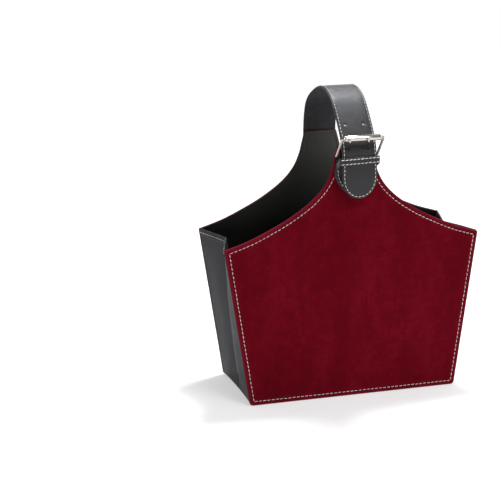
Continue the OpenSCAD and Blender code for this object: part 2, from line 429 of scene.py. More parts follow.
def mix_rgb(nt, fac, a, b, blend="MIX"):
    m = node(nt, "ShaderNodeMix", data_type="RGBA", blend_type=blend)
    if isinstance(fac, (int, float)):
        m.inputs[0].default_value = fac
    else:
        nt.links.new(fac, m.inputs[0])
    for sock, val in ((m.inputs[6], a), (m.inputs[7], b)):
        if isinstance(val, tuple):
            sock.default_value = (*val, 1)
        else:
            nt.links.new(val, sock)
    return m.outputs[2]


def math_node(nt, op, a, b=0.0):
    m = node(nt, "ShaderNodeMath", operation=op)
    for sock, val in ((m.inputs[0], a), (m.inputs[1], b)):
        if isinstance(val, (int, float)):
            sock.default_value = val
        else:
            nt.links.new(val, sock)
    return m.outputs[0]


def bump(nt, height, strength, distance, prev=None):
    b = node(nt, "ShaderNodeBump")
    b.inputs["Strength"].default_value = strength
    b.inputs["Distance"].default_value = distance
    nt.links.new(height, b.inputs["Height"])
    if prev is not None:
        nt.links.new(prev, b.inputs["Normal"])
    return b.outputs["Normal"]


def suede_material():
    m, nt, b = new_mat("burgundy_suede")
    co = node(nt, "ShaderNodeTexCoord").outputs["Object"]
    tall = node(nt, "ShaderNodeMapping")
    tall.inputs["Scale"].default_value = (1.0, 1.0, 0.38)
    nt.links.new(co, tall.inputs["Vector"])
    big = noise(nt, tall.outputs["Vector"], 15, 4, 0.62, 0.5)
    mid = noise(nt, co, 95, 6, 0.72, 0.6)
    fine = noise(nt, co, 420, 3, 0.7)
    nap = noise(nt, co, 1500, 2, 0.6)
    s1 = math_node(nt, "MULTIPLY", big.outputs["Fac"], 0.40)
    s2 = math_node(nt, "MULTIPLY", mid.outputs["Fac"], 0.38)
    s3 = math_node(nt, "MULTIPLY", fine.outputs["Fac"], 0.22)
    tot = math_node(nt, "ADD", math_node(nt, "ADD", s1, s2), s3)
    col = ramp(nt, tot, [(0.36, (0.072, 0.0004, 0.0034)), (0.50, (0.110, 0.0008, 0.0058)), (0.64, (0.152, 0.0028, 0.0112))])
    # painted highlight: the suede's rounded edges are mixed towards a lighter red, as where they would catch the light
    geo = node(nt, "ShaderNodeNewGeometry")
    edge = ramp(nt, geo.outputs["Pointiness"], [(0.50, (0, 0, 0)), (0.56, (1, 1, 1))])
    painted_edge_highlight = mix_rgb(nt, math_node(nt, "MULTIPLY", edge.outputs["Color"], 0.45), col.outputs["Color"], (0.22, 0.020, 0.040))
    nt.links.new(painted_edge_highlight, b.inputs["Base Color"])
    rr = ramp(nt, mid.outputs["Fac"], [(0.3, (0.86,) * 3), (0.7, (0.98,) * 3)])
    nt.links.new(rr.outputs["Color"], b.inputs["Roughness"])
    b.inputs["Specular IOR Level"].default_value = 0.05
    b.inputs["Sheen Weight"].default_value = 0.06
    b.inputs["Sheen Roughness"].default_value = 0.4
    b.inputs["Sheen Tint"].default_value = (0.9, 0.10, 0.16, 1)
    n1 = bump(nt, nap.outputs["Fac"], 0.65, 0.00035)
    n2 = bump(nt, fine.outputs["Fac"], 0.45, 0.0005, n1)
    n3 = bump(nt, mid.outputs["Fac"], 0.25, 0.0008, n2)
    nt.links.new(n3, b.inputs["Normal"])
    return m


def leather_material(name, dark, light, rough=(0.38, 0.52), cell=900, bumpy=0.35, spec=0.5, coat=0.0, edge_paint_and_highlight_color=(0.05, 0.05, 0.055), painted_edge_highlight=0.5):
    m, nt, b = new_mat(name)
    co = node(nt, "ShaderNodeTexCoord").outputs["Object"]
    warp = noise(nt, co, 320, 2, 0.5)
    vec = node(nt, "ShaderNodeMix", data_type="VECTOR")
    vec.inputs[0].default_value = 0.0016
    nt.links.new(co, vec.inputs[4])
    nt.links.new(warp.outputs["Color"], vec.inputs[5])
    vor = node(nt, "ShaderNodeTexVoronoi", feature="DISTANCE_TO_EDGE")
    vor.inputs["Scale"].default_value = cell
    nt.links.new(vec.outputs[1], vor.inputs["Vector"])
    pebble = ramp(nt, vor.outputs["Distance"], [(0.0, (0, 0, 0)), (0.22, (1, 1, 1))])
    big = noise(nt, co, 18, 4, 0.6, 0.3)
    fine = noise(nt, co, 1400, 3, 0.6)
    col = ramp(nt, big.outputs["Fac"], [(0.35, dark), (0.68, light)])
    crease = mix_rgb(nt, pebble.outputs["Color"], tuple(0.7 * c for c in dark), col.outputs["Color"])
    # convex edges are mixed towards the given edge colour, lighter on most pieces: partly the pieces' own edge paint,
    # partly painted highlight where the rounded edges catch the light
    geo = node(nt, "ShaderNodeNewGeometry")
    edge = ramp(nt, geo.outputs["Pointiness"], [(0.515, (0, 0, 0)), (0.60, (1, 1, 1))])
    out = mix_rgb(nt, math_node(nt, "MULTIPLY", edge.outputs["Color"], painted_edge_highlight), crease, edge_paint_and_highlight_color)
    nt.links.new(out, b.inputs["Base Color"])
    rr = ramp(nt, big.outputs["Fac"], [(0.35, (rough[0],) * 3), (0.7, (rough[1],) * 3)])
    nt.links.new(rr.outputs["Color"], b.inputs["Roughness"])
    b.inputs["Specular IOR Level"].default_value = spec
    if coat:
        b.inputs["Coat Weight"].default_value = coat
        b.inputs["Coat Roughness"].default_value = 0.22
    n1 = bump(nt, pebble.outputs["Color"], bumpy, 0.00018)
    n2 = bump(nt, fine.outputs["Fac"], 0.2, 0.00012, n1)
    n3 = bump(nt, big.outputs["Fac"], 0.12, 0.0012, n2)
    nt.links.new(n3, b.inputs["Normal"])
    return m


def fibre_material(name, dark, light):
    """The rough underside of a strap, or bare board."""
    m, nt, b = new_mat(name)
    co = node(nt, "ShaderNodeTexCoord").outputs["Object"]
    a = noise(nt, co, 60, 4, 0.65, 0.2)
    f = noise(nt, co, 900, 4, 0.75)
    s = math_node(nt, "ADD", math_node(nt, "MULTIPLY", a.outputs["Fac"], 0.5), math_node(nt, "MULTIPLY", f.outputs["Fac"], 0.5))
    col = ramp(nt, s, [(0.36, dark), (0.64, light)])
    nt.links.new(col.outputs["Color"], b.inputs["Base Color"])
    rr = ramp(nt, f.outputs["Fac"], [(0.3, (0.72,) * 3), (0.7, (0.9,) * 3)])
    nt.links.new(rr.outputs["Color"], b.inputs["Roughness"])
    b.inputs["Specular IOR Level"].default_value = 0.3
    nt.links.new(bump(nt, f.outputs["Fac"], 0.45, 0.0003), b.inputs["Normal"])
    return m


def thread_material(name, dark, light):
    m, nt, b = new_mat(name)
    co = node(nt, "ShaderNodeTexCoord").outputs["Object"]
    a = noise(nt, co, 240, 3, 0.6)
    w = node(nt, "ShaderNodeTexWave", wave_type="BANDS", bands_direction="DIAGONAL")
    w.inputs["Scale"].default_value = 620
    w.inputs["Distortion"].default_value = 1.2
    w.inputs["Detail"].default_value = 1.0
    nt.links.new(co, w.inputs["Vector"])
    col = ramp(nt, a.outputs["Fac"], [(0.35, dark), (0.62, light)])
    out = mix_rgb(nt, math_node(nt, "MULTIPLY", w.outputs["Fac"], 0.25), col.outputs["Color"], tuple(0.6 * c for c in dark))
    nt.links.new(out, b.inputs["Base Color"])
    rr = ramp(nt, a.outputs["Fac"], [(0.3, (0.5,) * 3), (0.7, (0.68,) * 3)])
    nt.links.new(rr.outputs["Color"], b.inputs["Roughness"])
    b.inputs["Sheen Weight"].default_value = 0.25
    nt.links.new(bump(nt, w.outputs["Fac"], 0.5, 0.00012), b.inputs["Normal"])
    return m


def metal_material(name, tint=(0.60, 0.545, 0.50), rough=(0.05, 0.11)):
    m, nt, b = new_mat(name)
    co = node(nt, "ShaderNodeTexCoord").outputs["Object"]
    a = noise(nt, co, 45, 4, 0.6, 0.3)
    mp = node(nt, "ShaderNodeMapping")
    mp.inputs["Scale"].default_value = (0.25, 3.0, 3.0)
    nt.links.new(co, mp.inputs["Vector"])
    scr = noise(nt, mp.outputs["Vector"], 900, 2, 0.5)
    col = ramp(nt, a.outputs["Fac"], [(0.35, tuple(0.86 * c for c in tint)), (0.65, tint)])
    nt.links.new(col.outputs["Color"], b.inputs["Base Color"])
    b.inputs["Metallic"].default_value = 1.0
    rr = ramp(nt, scr.outputs["Fac"], [(0.35, (rough[0],) * 3), (0.72, (rough[1],) * 3)])
    nt.links.new(rr.outputs["Color"], b.inputs["Roughness"])
    nt.links.new(bump(nt, scr.outputs["Fac"], 0.08, 0.00008), b.inputs["Normal"])
    return m


SUEDE = suede_material()
GUSSET = leather_material("gusset_leatherette", (0.022, 0.0222, 0.0240), (0.034, 0.0344, 0.0370), rough=(0.50, 0.62), cell=1000, bumpy=0.3, spec=0.13, edge_paint_and_highlight_color=(0.05, 0.05, 0.055))
STRAP = leather_material("strap_leather", (0.0045, 0.0047, 0.0060), (0.0090, 0.0094, 0.0118), rough=(0.29, 0.38), cell=620, bumpy=0.7, spec=0.45, edge_paint_and_highlight_color=(0.03, 0.03, 0.034))
LINING = leather_material("lining_leatherette", (0.034, 0.0345, 0.031), (0.046, 0.0465, 0.042), rough=(0.44, 0.58), cell=1100, bumpy=0.22, spec=0.40, edge_paint_and_highlight_color=(0.03, 0.03, 0.03))
# painted shade: the lining's colour and its specular level fall off towards the base, standing in for the shade deep
# inside the bag
_nt = LINING.node_tree
_bs = next(n for n in _nt.nodes if n.type == "BSDF_PRINCIPLED")
_src = _bs.inputs["Base Color"].links[0].from_socket
_sp3 = node(_nt, "ShaderNodeSeparateXYZ")
_nt.links.new(node(_nt, "ShaderNodeTexCoord").outputs["Object"], _sp3.inputs[0])
_fade = ramp(_nt, math_node(_nt, "MULTIPLY", _sp3.outputs[2], 2.5), [(0.50, (0.16, 0.16, 0.16)), (0.76, (1.25, 1.25, 1.22))])
_nt.links.new(mix_rgb(_nt, 1.0, _src, _fade.outputs["Color"], "MULTIPLY"), _bs.inputs["Base Color"])
_sk = ramp(_nt, math_node(_nt, "MULTIPLY", _sp3.outputs[2], 2.5), [(0.50, (0.10, 0.10, 0.10)), (0.76, (0.40, 0.40, 0.40))])
_nt.links.new(_sk.outputs["Color"], _bs.inputs["Specular IOR Level"])
BLACK = leather_material("black_leatherette", (0.010, 0.010, 0.011), (0.018, 0.018, 0.019), rough=(0.42, 0.55), cell=950, bumpy=0.3, spec=0.40, edge_paint_and_highlight_color=(0.03, 0.03, 0.032))
UNDER = fibre_material("strap_underside", (0.022, 0.022, 0.024), (0.050, 0.050, 0.053))
BOARD = fibre_material("pressed_board", (0.20, 0.165, 0.12), (0.36, 0.30, 0.23))
THREAD = thread_material("ivory_thread", (0.80, 0.73, 0.67), (0.95, 0.91, 0.87))
METAL = metal_material("polished_nickel")

# ------------------------------------------------------------------ panels
CURVE = [[1, 0], [0.79, 0.08], [0.6, 0.18], [0.41, 0.3], [0.23, 0.45], [0.115, 0.6], [0.055, 0.75], [0.026, 0.88], [0, 1]]
TOP_CURVE = catmull(CURVE, 24) * [SHOULDER - NECK_HALF, NECK_Z - SHOULDER_Z] + [NECK_HALF, SHOULDER_Z]


def panel_chains():
    right = TOP_CURVE
    left = TOP_CURVE[::-1] * [-1, 1]
    return [
        np.array([[-BOTTOM_HALF, PANEL_Z], [BOTTOM_HALF, PANEL_Z]]),
        np.array([[BOTTOM_HALF, PANEL_Z], [SHOULDER, SHOULDER_Z]]),
        right,
        np.array([[NECK_HALF, NECK_Z], [-NECK_HALF, NECK_Z]]),
        left,
        np.array([[-SHOULDER, SHOULDER_Z], [-BOTTOM_HALF, PANEL_Z]]),
    ]


TRIMS = [4.3, 1.6, 2.2, 2.2, 1.6, 4.3]
OUTLINE = chain_loop(panel_chains(), TRIMS, 2.6)


def inset_chains(d, trims, step=1.0):
    """The outline's chains moved inwards by d, each trimmed where its neighbours meet it."""
    fine = closed(chain_loop(panel_chains(), TRIMS, 0.8, 10))
    out = []
    for c in panel_chains():
        L = arclen(c)[-1]
        s = np.linspace(0, L, max(3, int(L / step)))
        p = at_len(c, s)
        t = at_len(c, np.minimum(s + 0.2, L)) - at_len(c, np.maximum(s - 0.2, 0))
        t /= np.linalg.norm(t, axis=1)[:, None]
        q = p + np.stack([-t[:, 1], t[:, 0]], 1) * d
        ok = (seg_dist(q, [fine]) > d - 0.03) & inside(q, fine[:-1])
        out.append(q[ok])
    return out


def corner_joined(chains, gap=0.6):
    """Chains whose ends meet in the corner between them."""
    res = [c.copy() for c in chains]
    n = len(res)
    for i in range(n):
        a, b = res[i], res[(i + 1) % n]
        d1, d2 = a[-1] - a[-3], b[2] - b[0]
        M = np.array([d1, -d2]).T
        try:
            t = np.linalg.solve(M, b[0] - a[-1])
            x = a[-1] + d1 * t[0]
        except np.linalg.LinAlgError:
            x = (a[-1] + b[0]) / 2
        if np.linalg.norm(x - a[-1]) > 12:
            x = (a[-1] + b[0]) / 2
        res[i] = np.vstack([a, x])
        res[(i + 1) % n] = np.vstack([x, res[(i + 1) % n]])
    return res


ROW_CHAINS = corner_joined(inset_chains(STITCH_IN, None))


def in_round_strip(x, z, half, zc, grow=0.0):
    """Whether a point is behind a strip with a rounded lower end."""
    return (abs(x) < half + grow) if z > zc else ((x / (half + grow)) ** 2 + ((z - zc) / (TIP_LONG + grow)) ** 2 < 1)


CHAPE_EDGE = catmull([[24.2, 324], [24.2, 313], [25.4, 307], [26.8, 299], [26.4, 292], [24.4, 286], [20.8, 279.6], [15.4, 273], [9, 268.4], [0, 266.4], [-9, 268.4]], 10)[:-9]


def chape_half_at(z):
    """Half width of the chape at height z."""
    return float(np.interp(z, CHAPE_EDGE[::-1, 1], CHAPE_EDGE[::-1, 0])) if z > 266.4 else -9.0


def panel(side):
    """The pieces of one panel. side is -1 for the front, 1 for the back."""
    who = "front" if side < 0 else "back"
    wave = waves(3 if side < 0 else 8, 0.28, 95)
    small = waves(21 if side < 0 else 25, 0.07, 24)

    def face(u, v, h):
        """Point at height h out of the nominal outer face."""
        return np.stack([u, np.full_like(u, side * FACE) + side * h, v], -1)

    # stitches first, so that their ends can dimple the suede
    rows = []
    for c in ROW_CHAINS:
        def f(s, c=c):
            p = at_len(c, np.array([s]))[0]
            t = at_len(c, np.array([s + 0.3]))[0] - at_len(c, np.array([s - 0.3]))[0]
            return np.array([p[0], side * (FACE - 0.24), p[1]]), np.array([t[0], 0, t[1]]), np.array([0, side, 0.0])
        if side < 0:
            skip = lambda p: abs(p[0]) < chape_half_at(p[2]) + 0.6
        else:
            skip = lambda p: in_round_strip(p[0], p[2], STRAP_HALF, TIP_Z, 0.6)
        rows.append((f, arclen(c)[-1], skip))
    st, ends = stitches(f"{who}_stitching_thread", rows, THREAD, slant=4 * -side)
    kd = KDTree(len(ends))
    for i, e in enumerate(ends):
        kd.insert((e[0], 0, e[2]), i)
    kd.balance()

    def relief(u, v, d):
        h = wave(u, v) * np.clip(d / 40, 0, 1) + small(u, v) * np.clip(d / 10, 0, 1) - 0.12 * np.clip(d / 10, 0, 1)
        h = np.minimum(h, 0.15)
        h += -0.26 * np.exp(-((d - STITCH_IN) / 0.75) ** 2)
        h += 0.16 * np.exp(-((d - 2.9) / 1.3) ** 2)
        near = np.zeros_like(u)
        idx = np.where(np.abs(d - STITCH_IN) < 2.2)[0]
        for i in idx:
            _, _, r = kd.find((u[i], 0, v[i]))
            near[i] = r
            h[i] -= 0.34 * math.exp(-(r / 0.75) ** 2)
        R = 1.35
        h -= np.where(d < R, R - np.sqrt(np.maximum(0, R * R - (R - np.minimum(d, R)) ** 2)), 0)
        return h

    def top(u, v, d):
        return face(u, v, relief(u, v, d))

    def bottom(u, v, d):
        return face(u, v, np.where(d < 0.97, -2.95, -1.25))

    rings = [(0.12, 2.6), (0.4, 2.6), (0.8, 2.6), (0.94, 2.6), (1.02, 2.6), (1.4, 2.6), (2.1, 2.4), (2.9, 2.4), (3.8, 2.2), (4.5, 1.5), (5.0, 1.2), (5.35, 1.2), (5.85, 1.2), (6.3, 1.2), (6.9, 1.5), (8.2, 2.6), (10.5, 3.6)]
    cover = sheet_mesh(f"{who}_suede_cover", [OUTLINE], [closed(OUTLINE)], rings, 4.6, top, bottom, SUEDE)
    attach(cover, f"{who}_panel")
    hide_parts(f"{who}_cover")
    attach(st, f"{who}_panel")
    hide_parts(f"{who}_stitching")

    # lining, on the compartment's side, its edge turned in just short of the suede's
    chains = [c for c in inset_chains(0.8, None, 1.6)]
    lin = chain_loop(corner_joined(chains), [3.6, 1.2, 1.8, 1.8, 1.2, 3.6], 2.8)
    lw = waves(33 if side < 0 else 37, 0.22, 60)

    def lt(u, v, d):
        h = 0.80 + np.minimum(lw(u, v), 0.05) * np.clip(d / 14, 0, 1) + 0.14 * np.exp(-((d - 2.4) / 1.1) ** 2) - 0.22 * np.exp(-((d - STITCH_IN + 0.8) / 0.7) ** 2)
        R = 0.7
        h = h - np.where(d < R, R - np.sqrt(np.maximum(0, R * R - (R - np.minimum(d, R)) ** 2)), 0)
        return np.stack([u, side * (FACE - 3.0 - h), v], -1)

    def lb(u, v, d):
        return np.stack([u, np.full_like(u, side * (FACE - 3.0)), v], -1)

    lining = sheet_mesh(f"{who}_panel_lining", [lin], [closed(lin)], [(0.2, 2.8), (0.45, 2.8), (0.8, 2.8), (1.6, 2.8), (2.4, 2.8), (3.6, 2.6), (4.3, 1.8), (4.8, 1.8), (5.3, 1.8), (6.2, 2.6), (9, 4)], 6.5, lt, lb, LINING)
    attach(lining, f"{who}_panel")
    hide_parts(f"{who}_lining")
    return cover, st, lining


panel(-1)
panel(1)


# ------------------------------------------------------------------ gussets
def edge_x(z):
    r = 5.0
    return BOTTOM_HALF - 0.6 + (SHOULDER - BOTTOM_HALF) * z / SHOULDER_Z - np.where(z < r, r - np.sqrt(np.maximum(0, r * r - (r - np.minimum(z, r)) ** 2)), 0)


def fold_x(z):
    return np.minimum(BOTTOM_HALF - FOLD_BOTTOM + (SHOULDER - FOLD_TOP + FOLD_BOTTOM - BOTTOM_HALF) * z / SHOULDER_Z, edge_x(z) - 0.5)


GTOP = _ghi[2]
GBOT = _glo[2]


def gusset_half(side, end):
    """side is -1 for the left gusset, end is -1 for its front half."""
    who = "left" if side < 0 else "right"
    part = "front" if end < 0 else "rear"
    gw = waves(41 + side + 2 * end, 0.35, 45)
    W = GUSSET_Y

    def surf(s, z, h):
        """s runs from 0 at the crease to W at the panel; h is height out of the outer face."""
        t = np.clip(s / W, 0, 1)
        e, f = edge_x(z), fold_x(z)
        rc = 1.5
        lin = np.sqrt(s * s + rc * rc) - rc          # a small radius in the crease
        lin = lin / (math.sqrt(W * W + rc * rc) - rc)
        x = f + (e - f) * lin
        zz = np.clip(z / GTOP, 0, 1)
        bulge = (3.2 + 2.6 * np.sin(math.pi * np.clip(zz * 0.92, 0, 1))) * np.sin(math.pi * t) ** 1.2 * np.clip((z - 2) / 30, 0, 1) * (1 - 0.75 * zz ** 3)
        x = x + bulge * (1.0 if end < 0 else 0.3)
        x = x + gw(s, z) * np.sin(math.pi * t) * np.clip(z / 20, 0, 1) * np.clip((GTOP - z) / 14, 0, 1)
        x = x - 1.3 * np.exp(-(s / 1.2) ** 2) * np.clip((z - 3) / 12, 0, 1) * np.clip((GTOP - z) / 12, 0, 1)   # the crease is pressed in
        # normal in plan
        ds = (e - f) * s / np.sqrt(s * s + rc * rc) / (math.sqrt(W * W + rc * rc) - rc)
        nx = 1 / np.sqrt(1 + ds * ds)
        ny = -ds / np.sqrt(1 + ds * ds)
        return np.stack([side * (x + h * nx), end * (s + h * ny), z], -1)

    loop = chain_loop([
        np.array([[0, GBOT], [W, GBOT]]), np.array([[W, GBOT], [W, GTOP]]),
        np.array([[W, GTOP], [0, GTOP]]), np.array([[0, GTOP], [0, GBOT]])], [0.0, 0.0, 0.0, 0.0], 3.0)
    real = [np.array([[-4, GTOP], [W, GTOP]]), np.array([[-4, GBOT], [W, GBOT]])]
    zrow = GTOP - 5.0

    def f(s):
        q = np.array([s + 1.5])
        p = surf(q, np.array([zrow]), np.array([0.62]))[0]
        p2 = surf(q + 0.4, np.array([zrow]), np.array([0.62]))[0]
        n = p - surf(q, np.array([zrow]), np.array([-0.2]))[0]
        return p, p2 - p, n
    st, ends = stitches(f"{who}_gusset_{part}_thread", [(f, W - 3.2, None)], THREAD, pitch=5.4, length=3.7, slant=3 * side * end)
    kd = KDTree(len(ends))
    for i, e in enumerate(ends):
        kd.insert(e, i)
    kd.balance()

    def height(s, z):
        """The hem is a second layer that ends 9 mm below the top."""
        g = GTOP - z
        h = 0.75 / (1 + np.exp((g - 9.0) / 0.22))
        h = h - 0.22 * np.exp(-((g - 5.0) / 0.7) ** 2)
        R = 0.9
        h = h - np.where(g < R, R - np.sqrt(np.maximum(0, R * R - (R - np.clip(g, 0, R)) ** 2)), 0)
        return h

    def top(u, v, d):
        P = surf(u, v, height(u, v))
        near = np.where(np.abs(GTOP - v - 5.0) < 1.8)[0]
        for i in near:
            _, _, r = kd.find(P[i])
            P[i] = surf(u[i:i + 1], v[i:i + 1], height(u[i:i + 1], v[i:i + 1]) - 0.3 * math.exp(-(r / 0.8) ** 2))[0]
        return P

    def bottom(u, v, d):
        return surf(u, v, np.full_like(u, -1.5) + np.where(GTOP - v < 0.7, 0.35 * (1 - (GTOP - v) / 0.7), 0))

    hem = np.array([[s, GTOP - g] for g in (0.25, 0.55, 0.9, 1.6, 2.6, 3.6, 4.3, 4.75, 5.25, 5.7, 6.5, 7.6, 8.4, 8.75, 9.0, 9.25, 9.7, 10.6, 12.5) for s in np.arange(1.3, W, 1.5 if 4 < g < 6 else 2.6)])
    crease = np.array([[s, z] for s in (0.05, 0.5, 1.1, 1.8, 2.7, 3.8, 5.2, 7.0, 9.0) for z in np.arange(GBOT + 2.0, GTOP - 12, 3.6)])
    low = np.array([[s, GBOT + g] for g in (0.3, 0.8, 1.6, 2.6, 3.8, 5.2, 7, 10) for s in np.arange(1.4, W, 2.8)])
    ob = sheet_mesh(f"{who}_gusset_{part}_half", [loop], real, [], 3.8, top, bottom, GUSSET, mask=np.vstack([hem, crease, low]))
    sharp_where(ob, lambda c: np.abs(c[:, 1]) < 0.02)
    for o, slot in ((ob, "gusset_leatherette"), (st, "thread")):
        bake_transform(o)
    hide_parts(f"{who}_gusset")
    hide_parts(f"{who}_gusset_stitching")
    return ob


for _s_ in (-1, 1):
    for _e_ in (-1, 1):
        gusset_half(_s_, _e_)


# ------------------------------------------------------------------ base
def base_pieces():
    def slab(name, hx, hy, z0, z1, r, mat, nodes, puff, seed):
        loop = chain_loop([
            np.array([[-hx, -hy], [hx, -hy]]), np.array([[hx, -hy], [hx, hy]]),
            np.array([[hx, hy], [-hx, hy]]), np.array([[-hx, hy], [-hx, -hy]])], [r] * 4, 3.2)
        w = waves(seed, 0.12, 55)
        top_first = puff > 0

        def edge(d, R):
            return np.where(d < R, R - np.sqrt(np.maximum(0, R * R - (R - np.minimum(d, R)) ** 2)), 0)

        def top(u, v, d):
            h = z1 - edge(d, min(0.6, (z1 - z0) * 0.6))
            if top_first:
                h = h + puff * (1 - np.exp(-d / 7)) + np.minimum(w(u, v), 0) * np.clip(d / 20, 0, 1) - 0.3 * np.exp(-((d - 5) / 0.8) ** 2)
            return np.stack([u, v, h], -1)

        def bottom(u, v, d):
            h = z0 + edge(d, min(0.5, (z1 - z0) * 0.35))
            if not top_first:
                h = h + 0.22 * np.exp(-((d - 5) / 0.8) ** 2)
            return np.stack([u, v, h], -1)

        ob = sheet_mesh(name, [loop], [closed(loop)], [(0.15, 3.2), (0.35, 3.2), (0.6, 3.2), (1.4, 3.2), (3, 3.2), (4.2, 2.4), (4.7, 2.2), (5.3, 2.2), (6, 2.6), (8, 4)], 7, top, bottom, mat)
        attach(ob, "base")
        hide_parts(nodes)
        return ob

    slab("base_outer_cover", BASE_X, BASE_Y, 0.0, 1.0, 3.0, BLACK, "base_cover", 0, 51)
    slab("base_inner_lining", BASE_X + 0.2, BASE_Y + 0.3, BASE_TOP - 0.8, BASE_TOP, 2.0, LINING, "base_lining", 0.25, 53)


base_pieces()

# ------------------------------------------------------------------ strap
STRAP_PTS = [
    [72, 261], [72, 296], [72, 324], [71, 338], [68, 352], [62, 366], [51, 377], [34, 386], [14, 393.5],
    [-3, 396.5], [-18, 395.5], [-32, 391], [-45, 383], [-57, 371], [-68, 358], [-77, 346], [-84, 334],
    [-87.4, 322], [-88.7, 312], [-89.3, 302], [-89.4, 290], [-88.9, 277], [-87.8, 261]]
_raw = catmull(STRAP_PTS, 20)
STRAP_L = arclen(_raw)[-1]
_su = np.linspace(0, STRAP_L, 900)
_sp = at_len(_raw, _su)
_k = np.ones(13) / 13
for _c in range(2):                           # ease the line's small kinks
    pad = np.concatenate([np.repeat(_sp[:1, _c], 6), _sp[:, _c], np.repeat(_sp[-1:, _c], 6)])
    _sp[:, _c] = np.convolve(pad, _k, "valid")
_st = np.gradient(_sp, axis=0)
_st /= np.linalg.norm(_st, axis=1)[:, None]


def strap_at(u):
    """Outer surface point and outward normal, in (y, z), at arc length u from the rear end."""
    y, z = np.interp(u, _su, _sp[:, 0]), np.interp(u, _su, _sp[:, 1])
    ty, tz = np.interp(u, _su, _st[:, 0]), np.interp(u, _su, _st[:, 1])
    n = np.hypot(ty, tz)
    return y, z, tz / n, -ty / n, ty / n, tz / n


def strap_surf(u, v, h):
    y, z, ny, nz, _, _ = strap_at(u)
    return np.stack([v, y + ny * h, z + nz * h], -1)


def u_of(y, z):
    d = np.hypot(_sp[:, 0] - y, _sp[:, 1] - z)
    return _su[int(np.argmin(d))]


_ny = strap_at(np.array([STRAP_L * 0.5]))
U_TOP = u_of(-3, 396.5)
U_FREE = u_of(-70.2, 355.1)
U_USED = u_of(-86.2, 327.4)


